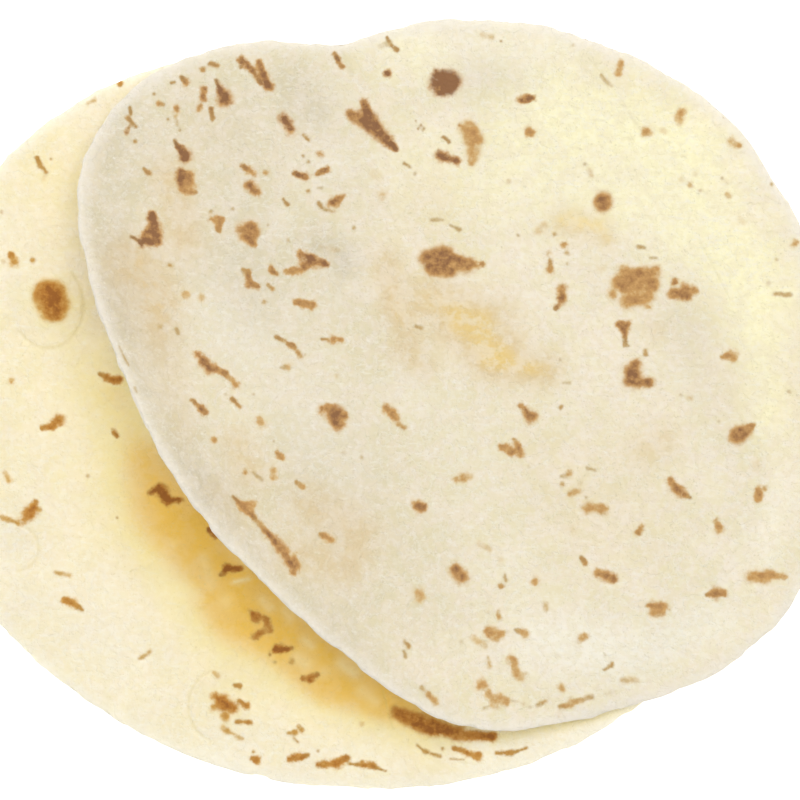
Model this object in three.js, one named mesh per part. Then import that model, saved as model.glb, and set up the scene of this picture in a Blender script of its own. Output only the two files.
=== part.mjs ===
import * as THREE from "three";

// Two flour tortillas, one lying on the other, in millimetres. The viewer looks straight down:
// X runs to the right, Y to the top of the view and Z up from the table. Each tortilla is a
// hand-rolled round of dough, given by its outline and by what its baking did to it. The lower
// one lies flat, with its rim lifted here and there. The upper one lies on it, hangs over its
// right side, and its lower left side curls up off it.

const doughThickness = 2.2;
const halfThickness = doughThickness / 2;
const restingGap = 0.3; // air between the two rounds where one lies on the other
const rimSteps = 4; // strips round the rounded rim

// Angles are in degrees, turned anticlockwise from the right. An outline is a circle with a few
// waves round it (count of them, size, and where the first one peaks) and local dents, which
// push it in by their depth, or out where that is negative.
const lowerRound = {
  name: "lower_tortilla",
  centre: [-14.4, -3.2],
  radius: 102.4,
  waves: [{ count: 2, size: 7.6, at: -12.7 }],
  dents: [
    { depth: -8.5, width: 14, at: 45 },
    { depth: 4.5, width: 9, at: 100 },
  ],
  firstAngle: 0,
  rings: 20,
};

const upperRound = {
  name: "upper_tortilla",
  centre: [16.2, 10.8],
  radius: 93.3,
  waves: [
    { count: 2, size: 8.7, at: -34.7 },
    { count: 3, size: 3.9, at: 41.9 },
    { count: 4, size: 2.8, at: -37.5 },
    { count: 6, size: 1.7, at: 25.7 },
  ],
  dents: [
    { depth: 4.8, width: 5.1, at: 112 }, // the notch that makes the outline heart-like
    { depth: 2.2, width: 3.6, at: 32.4 }, // a small kink at the right
    { depth: -1.5, width: 9, at: 273 },
    { depth: 1.4, width: 8, at: 252 },
  ],
  firstAngle: 112, // a corner of the mesh falls in the notch
  rings: 22,
};

// Where the lower round's rim lifts off the table: the middle of the stretch, half its width in
// degrees, and how high the edge comes. The lift starts at a share of the way out.
const rimLifts = [
  { at: 158, halfWidth: 34, rise: 4.5 },
  { at: 205, halfWidth: 24, rise: 3.2 },
  { at: 252, halfWidth: 30, rise: 2.4 },
  { at: 296, halfWidth: 22, rise: 1.6 },
];
const liftStart = 0.66;

// Blisters that puffed up the top of the lower round: centre, radius and height.
const lowerBlisters = [
  { x: -88.4, y: 25.4, radius: 12.5, rise: 2.6 },
  { x: -95.5, y: -31.5, radius: 10, rise: 1.6 },
  { x: -44.5, y: -78.5, radius: 9.5, rise: 1.4 },
  { x: 13.5, y: -81.5, radius: 9, rise: 1.2 },
];

// Low swells of the upper round where it doesn't lie close on the lower one: centre, reach along
// and across, the direction of its length, and height. The first one runs in from the notch.
const upperSwells = [
  { x: -21, y: 70, along: 30, across: 9, turn: 69, rise: 2.6 },
  { x: 60, y: 29, along: 20, across: 17, turn: 20, rise: 1.0 },
  { x: 40, y: -62, along: 24, across: 15, turn: 15, rise: 1.5 },
  { x: 10, y: 30, along: 34, across: 12, turn: 120, rise: 0.9 },
  { x: 88, y: 52, along: 16, across: 9, turn: 130, rise: 0.9 },
];

// The curl of the upper round: the direction it rises in, how far from the centre it starts, the
// steepest slope, and the length over which the slope builds up.
const curl = { towards: 212, start: 8, steepest: 51.5, length: 80, steps: 32 };

// The upper round sags where it hangs out past the lower one: by the depth at the reach.
const overhang = { depth: 1.2, reach: 20 };

function radians(degrees) {
  return THREE.MathUtils.degToRad(degrees);
}

// The turn from one direction to another, between minus and plus 180 degrees.
function turnBetween(from, to) {
  return THREE.MathUtils.euclideanModulo(to - from + 180, 360) - 180;
}

// A smooth hump: 1 in the middle, 0 from a distance of 1 on.
function hump(distance) {
  const share = Math.min(Math.abs(distance), 1);
  return 0.5 + 0.5 * Math.cos(Math.PI * share);
}

function outlineRadius(round, angle) {
  let radius = round.radius;
  for (const wave of round.waves) {
    radius += wave.size * Math.cos(radians(wave.count * (angle - wave.at)));
  }
  for (const dent of round.dents) {
    const away = turnBetween(dent.at, angle) / dent.width;
    radius -= dent.depth * Math.exp(1 - Math.hypot(1, away));
  }
  return radius;
}

// A point seen from the centre of the lower round: its direction, its distance, and the
// distance of the rim in that direction.
function fromLowerCentre(x, y) {
  const dx = x - lowerRound.centre[0];
  const dy = y - lowerRound.centre[1];
  const angle = THREE.MathUtils.radToDeg(Math.atan2(dy, dx));
  return { angle, distance: Math.hypot(dx, dy), rim: outlineRadius(lowerRound, angle) };
}

// How far the lower round is lifted off the table at a point.
function lowerLift(x, y) {
  const { angle, distance, rim } = fromLowerCentre(x, y);
  const outward = THREE.MathUtils.smoothstep(distance / rim, liftStart, 1);
  let lift = 0;
  for (const stretch of rimLifts) {
    const along = turnBetween(stretch.at, angle) / stretch.halfWidth;
    lift += stretch.rise * hump(along) * outward;
  }
  return lift;
}

function blisterRise(x, y) {
  let rise = 0;
  for (const blister of lowerBlisters) {
    rise += blister.rise * hump(Math.hypot(x - blister.x, y - blister.y) / blister.radius);
  }
  return rise;
}

function swellRise(x, y) {
  let rise = 0;
  for (const swell of upperSwells) {
    const turn = radians(swell.turn);
    const dx = x - swell.x;
    const dy = y - swell.y;
    const along = (dx * Math.cos(turn) + dy * Math.sin(turn)) / swell.along;
    const across = (dy * Math.cos(turn) - dx * Math.sin(turn)) / swell.across;
    rise += swell.rise * Math.exp(-along * along - across * across);
  }
  return rise;
}

// The height of what the upper round lies on: the lower round, and past its rim a shallow sag.
function bedHeight(x, y) {
  const { distance, rim } = fromLowerCentre(x, y);
  const past = Math.max(distance - rim, 0) / overhang.reach;
  return doughThickness + lowerLift(x, y) - overhang.depth * past * past;
}

// The curled sheet after a length along it: how far it has gone out and up, and its slope.
function followCurl(length) {
  let out = 0;
  let up = 0;
  for (let step = 0; step < curl.steps; step += 1) {
    const gone = (length * (step + 0.5)) / curl.steps;
    const slope = radians(curl.steepest) * THREE.MathUtils.smoothstep(gone, 0, curl.length);
    out += (Math.cos(slope) * length) / curl.steps;
    up += (Math.sin(slope) * length) / curl.steps;
  }
  const slope = radians(curl.steepest) * THREE.MathUtils.smoothstep(length, 0, curl.length);
  return { out, up, slope };
}

// A point of the lower round: its place on the flat dough, and its height above the middle of
// the dough's thickness.
function settleLower(flatX, flatY, above) {
  const x = flatX + lowerRound.centre[0];
  const y = flatY + lowerRound.centre[1];
  const puffed = above > 0 ? (blisterRise(x, y) * above) / halfThickness : 0;
  return [x, y, halfThickness + above + lowerLift(x, y) + puffed];
}

function settleUpper(flatX, flatY, above) {
  const rising = new THREE.Vector2(Math.cos(radians(curl.towards)), Math.sin(radians(curl.towards)));
  const flat = new THREE.Vector2(flatX, flatY);
  const outward = flat.dot(rising);
  const sideways = rising.cross(flat);
  const { out, up, slope } = followCurl(Math.max(outward - curl.start, 0));
  const reach = Math.min(outward, curl.start) + out - above * Math.sin(slope);
  const x = upperRound.centre[0] + reach * rising.x - sideways * rising.y;
  const y = upperRound.centre[1] + reach * rising.y + sideways * rising.x;
  const rest = bedHeight(x, y) + restingGap + halfThickness;
  return [x, y, rest + swellRise(x, y) + up + above * Math.cos(slope)];
}

// One ring of points round a tortilla. placeAt gives the distance from the centre and the height
// above the middle of the dough in each direction.
function addRing(positions, round, settle, count, placeAt) {
  const first = positions.length / 3;
  for (let i = 0; i < count; i += 1) {
    const angle = round.firstAngle + (360 * i) / count;
    const { distance, above } = placeAt(angle);
    const flatX = distance * Math.cos(radians(angle));
    const flatY = distance * Math.sin(radians(angle));
    positions.push(...settle(flatX, flatY, above));
  }
  return { first, count };
}

// The triangles between two rings of a face, of which the outer one has six points more.
function fillFace(triangles, inner, outer, facesUp) {
  const innerSide = inner.count === 1 ? 0 : inner.count / 6;
  const outerSide = outer.count / 6;
  const put = (a, b, c) => triangles.push(...(facesUp ? [a, b, c] : [a, c, b]));
  for (let side = 0; side < 6; side += 1) {
    const innerAt = (j) => inner.first + ((side * innerSide + j) % inner.count);
    const outerAt = (j) => outer.first + ((side * outerSide + j) % outer.count);
    for (let j = 0; j < outerSide; j += 1) {
      put(innerAt(j), outerAt(j), outerAt(j + 1));
      if (j < innerSide) {
        put(innerAt(j), outerAt(j + 1), innerAt(j + 1));
      }
    }
  }
}

function fillRim(triangles, upper, lower) {
  for (let i = 0; i < upper.count; i += 1) {
    const next = (i + 1) % upper.count;
    triangles.push(upper.first + i, lower.first + i, lower.first + next);
    triangles.push(upper.first + i, lower.first + next, upper.first + next);
  }
}

function addFace(positions, triangles, round, settle, above) {
  let inner = null;
  for (let ring = 0; ring <= round.rings; ring += 1) {
    const share = ring / round.rings;
    const outer = addRing(positions, round, settle, Math.max(6 * ring, 1), (angle) => ({
      distance: share * (outlineRadius(round, angle) - halfThickness),
      above,
    }));
    if (inner) {
      fillFace(triangles, inner, outer, above > 0);
    }
    inner = outer;
  }
  return inner;
}

// A round of dough: a top face and an underside divided alike, joined by a rounded rim.
function makeTortilla(round, settle, material) {
  const positions = [];
  const triangles = [];
  const topEdge = addFace(positions, triangles, round, settle, halfThickness);
  const bottomEdge = addFace(positions, triangles, round, settle, -halfThickness);
  let above = topEdge;
  for (let step = 1; step < rimSteps; step += 1) {
    const bend = radians(90 - (180 * step) / rimSteps);
    const ring = addRing(positions, round, settle, topEdge.count, (angle) => ({
      distance: outlineRadius(round, angle) - halfThickness * (1 - Math.cos(bend)),
      above: halfThickness * Math.sin(bend),
    }));
    fillRim(triangles, above, ring);
    above = ring;
  }
  fillRim(triangles, above, bottomEdge);

  const geometry = new THREE.BufferGeometry();
  geometry.setAttribute("position", new THREE.Float32BufferAttribute(positions, 3));
  geometry.setIndex(triangles);
  geometry.computeVertexNormals();
  const mesh = new THREE.Mesh(geometry, material);
  mesh.name = round.name;
  return mesh;
}

const lowerDough = new THREE.MeshStandardMaterial({ color: 0xf5e9c6, roughness: 0.86, metalness: 0 });
const upperDough = new THREE.MeshStandardMaterial({ color: 0xf0e8d2, roughness: 0.84, metalness: 0 });

const tortillas = new THREE.Group();
tortillas.add(makeTortilla(lowerRound, settleLower, lowerDough));
tortillas.add(makeTortilla(upperRound, settleUpper, upperDough));

// The origin is under the middle of the whole stack, on the table.
const box = new THREE.Box3().setFromObject(tortillas);
const middle = box.getCenter(new THREE.Vector3());
tortillas.position.set(-middle.x, -middle.y, -box.min.z);

const group = new THREE.Group();
group.add(tortillas);

export default group;
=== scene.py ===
import bmesh
import bpy
import numpy as np
from mathutils.kdtree import KDTree
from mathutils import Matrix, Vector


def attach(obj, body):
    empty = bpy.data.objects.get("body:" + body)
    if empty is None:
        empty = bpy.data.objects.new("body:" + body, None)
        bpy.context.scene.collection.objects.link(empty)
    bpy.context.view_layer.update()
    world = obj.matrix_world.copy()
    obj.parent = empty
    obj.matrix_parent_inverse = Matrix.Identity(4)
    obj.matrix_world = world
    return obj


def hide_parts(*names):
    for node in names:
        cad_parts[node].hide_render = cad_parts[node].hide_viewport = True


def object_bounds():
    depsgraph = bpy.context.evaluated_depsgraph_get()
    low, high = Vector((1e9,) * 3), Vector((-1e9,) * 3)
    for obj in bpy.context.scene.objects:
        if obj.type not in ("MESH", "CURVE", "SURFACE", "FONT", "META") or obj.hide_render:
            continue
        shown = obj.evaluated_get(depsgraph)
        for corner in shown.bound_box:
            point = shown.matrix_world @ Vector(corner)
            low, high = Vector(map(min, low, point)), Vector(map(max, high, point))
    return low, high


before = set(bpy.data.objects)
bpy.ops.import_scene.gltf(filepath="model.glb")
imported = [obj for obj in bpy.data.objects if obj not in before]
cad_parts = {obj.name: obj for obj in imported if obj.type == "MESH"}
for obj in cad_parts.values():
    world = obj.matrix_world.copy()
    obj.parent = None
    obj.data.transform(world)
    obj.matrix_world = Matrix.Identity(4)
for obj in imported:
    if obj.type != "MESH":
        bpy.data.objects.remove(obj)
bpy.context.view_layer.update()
scene = bpy.context.scene
mm = 0.001

# The photographer's view: straight down. A step is an eight-hundredth of the picture's width,
# measured on the table, and the marks on the dough are placed in steps from the top left.
view = {
    "centre": (0.007686, 0.001097),
    "height": 0.68,
    "step": 0.000254,
    "steps": 800,
    "sensor": 36.0,  # in mm
}
stepSize = view["step"] / mm


def makeCamera():
    data = bpy.data.cameras.new("camera")
    data.sensor_width = view["sensor"]
    data.lens = view["sensor"] * view["height"] / (view["step"] * view["steps"])
    camera = bpy.data.objects.new("camera", data)
    camera.location = (*view["centre"], view["height"])
    scene.collection.objects.link(camera)
    scene.camera = camera


# Where points of the dough are seen, in steps of the view.
def seenAt(points):
    nearer = view["height"] / (view["height"] - points[:, 2])
    across = (points[:, 0] - view["centre"][0]) * nearer / view["step"]
    up = (points[:, 1] - view["centre"][1]) * nearer / view["step"]
    return np.column_stack((view["steps"] / 2 + across, view["steps"] / 2 - up))


# An oval ring as short strokes: its middle and half widths, and where it starts and ends, in
# degrees turned clockwise from the right.
def ring(x, y, wide, tall, start, end, width, height):
    bend = 15  # degrees from one stroke to the next, at most
    turns = np.radians(np.linspace(start, end, 2 + int(abs(end - start) / bend)))
    corners = [(x + wide * np.cos(turn), y + tall * np.sin(turn)) for turn in turns]
    return [(*first, *second, width, height) for first, second in zip(corners, corners[1:])]


# The toasted spots are strokes: two ends, the radius at each, and how brown it is, from 0 to 1.
# A round spot has one end and one radius.
lowerTortilla = {
    "node": "lower_tortilla",
    "piece": "lower_tortilla_dough",
    "slot": "lower_dough",
    "seed": 11,
    # soft patches of the dough's tones and of painted light and shade: one end or two, reach and
    # strength, from 0 to 1
    "goldAndPaintedGlow": [
        # painted glow and painted shade along the upper tortilla's raised edge, standing in for light
        # shining up through the dough in the shade beneath it: close to it, and further out
        (118, 395, 140, 450, 24, .25), (150, 465, 195, 530, 32, .62), (195, 530, 245, 590, 34, .72),
        (245, 590, 310, 650, 30, .8), (310, 650, 380, 695, 26, .78), (380, 695, 450, 725, 18, .7),
        (110, 400, 160, 510, 50, .35), (160, 510, 240, 610, 52, .7), (240, 610, 330, 680, 42, .75),
        (330, 680, 420, 730, 30, .55), (495, 738, 640, 708, 6, .5),
        (70, 190, 60, .2), (52, 302, 25, .6), (228, 705, 26, .25), (70, 330, 110, 390, 30, .2),
    ],
    # painted light: where light shines through the golden dough
    "bright": [
        (234, 582, 249, 579, 2.5, .55), (262, 600, 270, 608, 6, .45), (298, 658, 306, 664, 9, .5),
        (304, 640, 312, 646, 5, .5), (342, 664, 354, 673, 7, .55), (203, 558, 212, 586, 6, .3),
        (186, 590, 196, 596, 7, .35), (240, 558, 9, .25), (362, 690, 376, 702, 7, .35),
        (172, 545, 6, .3), (226, 602, 8, .35), (285, 610, 290, 618, 6, .35), (325, 672, 7, .35),
        (60, 440, 50, .3), (30, 350, 40, .3),
    ],
    "pale": [
        (110, 640, 60, .5), (230, 755, 50, .6), (20, 560, 40, .4), (330, 745, 380, 760, 26, .5),
        (480, 760, 590, 730, 26, .7), (20, 230, 30, .3), (300, 715, 24, .4), (90, 590, 30, .3),
    ],
    # greyer patches of the dough
    "grey": [(60, 610, 60, .25), (150, 720, 60, .2), (5, 480, 40, .25)],
    # ridges: two ends, width, and height in mm, which is negative for a groove
    "folds": [
        *ring(48, 305, 36, 43, -50, 140, 2.4, -.18), *ring(48, 305, 31, 38, -60, 250, 4, .14),
        *ring(222, 706, 34, 37, 110, 250, 2.6, -.15), *ring(222, 706, 29, 33, 90, 300, 4, .12),
        *ring(12, 548, 27, 24, -80, 80, 2.6, -.15), *ring(12, 548, 22, 20, -90, 120, 3.5, .12),
        (234, 583, 249, 579, 1.6, .14), (383, 691, 393, 729, 2, -.14), (60, 470, 30, 460, 5, .15),
        (55, 560, 75, 573, 3, .12), (20, 210, 50, 225, 5, .12), (90, 540, 120, 600, 6, .1),
        (140, 610, 150, 640, 4, .12), (190, 650, 215, 655, 3, .1), (262, 560, 300, 600, 2, .12),
        (170, 560, 215, 600, 3, .15), (200, 560, 190, 590, 1.5, .15), (340, 640, 375, 668, 2, .12),
    ],
    "toast": [
        (120, 83, 2.8, .5), (88, 103, 95, 100, 2.4, 2.6, .32), (37, 157, 40, 165, 1.8, 2, .45),
        (40, 165, 47, 172, 2.4, 2, .5), (51, 159, 2, .3), (44, 179, 3, .1), (1, 212, 2, .3),
        (10, 254, 14, 263, 3, 4.6, .45), (32, 260, 3, .4), (3, 261, 2, .15),
        # the top of the big blister
        (49, 293, 54, 309, 17, 16, .42), (42, 288, 53, 296, 6, 8, .75), (50, 300, 55, 313, 8, 7, .7),
        (99, 374, 106, 378, 1.6, 2.8, .5), (106, 378, 119, 380, 3.4, 4, .65), (11, 381, 3.4, .4),
        (42, 428, 53, 426, 2.6, 4, .6), (55, 423, 60, 420, 4, 6, .65),
        (113, 431, 117, 436, 2.8, 2.4, .65), (88, 476, 1.8, .25), (4, 472, 9, 481, 2.6, 3.6, .3),
        (0, 516, 10, 520, 3, 3, .35), (10, 520, 19, 524, 2.4, 3, .4),
        (22, 521, 30, 514, 4.6, 6.5, .6), (30, 513, 36, 502, 5.5, 3, .55), (40, 510, 2.5, .3),
        # half under the upper tortilla's edge
        (150, 493, 161, 488, 2.5, 5, .85), (161, 491, 169, 501, 6, 4.5, .85),
        (169, 501, 180, 499, 4.5, 3.5, .8), (209, 529, 216, 537, 3, 3, .7),
        (221, 575, 228, 568, 2.4, 4.2, .75), (228, 568, 241, 569, 4.2, 3.2, .7),
        (55, 572, 70, 576, 1.8, 3, .3), (64, 601, 72, 603, 3.6, 4.6, .55),
        (74, 605, 83, 610, 3.6, 1.6, .5), (139, 659, 150, 652, 2, 2.4, .35), (117, 518, 1.2, .4),
        (253, 613, 257, 619, 4.5, 5.5, .65), (265, 620, 268, 630, 4, 4, .55),
        (268, 630, 253, 638, 4.5, 3.4, .5), (274, 651, 280, 649, 3.5, 4.5, .75),
        (280, 649, 292, 648, 4.2, 2.6, .7), (270, 654, 2, .5), (292, 662, 3, .4),
        (275, 662, 1.6, .3), (303, 679, 311, 679, 3, 4, .7), (311, 679, 318, 674, 4, 2.2, .65),
        (213, 672, 218, 677, 2.6, 2.6, .25), (234, 685, 240, 686, 2, 2.4, .45),
        # the blister at the bottom
        (214, 696, 222, 702, 4.5, 7, .55), (222, 702, 233, 710, 8, 5.5, .62), (226, 716, 5, .4),
        (239, 700, 248, 706, 2.6, 3.4, .55), (236, 722, 251, 722, 2.2, 2.6, .5),
        (222, 729, 243, 739, 3.4, 2.2, .3), (213, 707, 3.5, .35),
        (288, 733, 296, 733, 1.8, 3, .4), (298, 726, 302, 731, 2.4, 2.6, .45),
        (294, 738, 298, 742, 1.6, 1.6, .4), (252, 758, 257, 760, 3, 4, .62), (253, 752, 2, .45),
        (290, 760, 299, 757, 3.4, 4, .62), (299, 757, 308, 755, 3.6, 2, .6), (318, 751, 1.6, .35),
        (318, 764, 336, 764, 3, 4.4, .65), (336, 763, 348, 757, 4.4, 2.8, .62),
        (350, 764, 362, 765, 1.8, 2, .5), (362, 765, 374, 766, 3.4, 3, .58),
        (374, 767, 386, 771, 2, 1.2, .5), (362, 724, 3, .2),
        # the long brown stretch along the upper tortilla's edge
        (395, 712, 425, 724, 7, 9, .58), (425, 724, 460, 733, 9, 7, .66),
        (460, 735, 494, 737, 6, 4.5, .62), (412, 724, 440, 734, 3, 3, .8),
        (417, 745, 425, 752, 1.4, 2, .4),
        (425, 752, 440, 756, 2, 2, .4), (442, 749, 2, .4), (454, 749, 478, 756, 2.4, 4.4, .55),
        (450, 759, 464, 760, 1.2, 1, .35), (496, 753, 512, 753, 2.2, 2.6, .5),
        (512, 753, 527, 748, 1.8, 1.4, .5),
        # left of the picture
        (-24, 232, -14, 240, 4, 6, .55), (-52, 288, -46, 291, 4, 3, .4), (-20, 330, 3.5, .35),
        (-38, 366, -29, 379, 7, 5, .62), (-68, 402, 5, .45), (-14, 420, -8, 431, 2, 3.4, .5),
        (-74, 462, -62, 457, 4, 6, .6), (-33, 478, -30, 485, 3, 3, .35), (-50, 540, -42, 536, 3, 5, .55),
        (-22, 580, 2.5, .4), (-60, 350, 2.4, .35), (-15, 500, 3, .3), (-44, 425, 2.8, .3),
    ],
}

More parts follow.
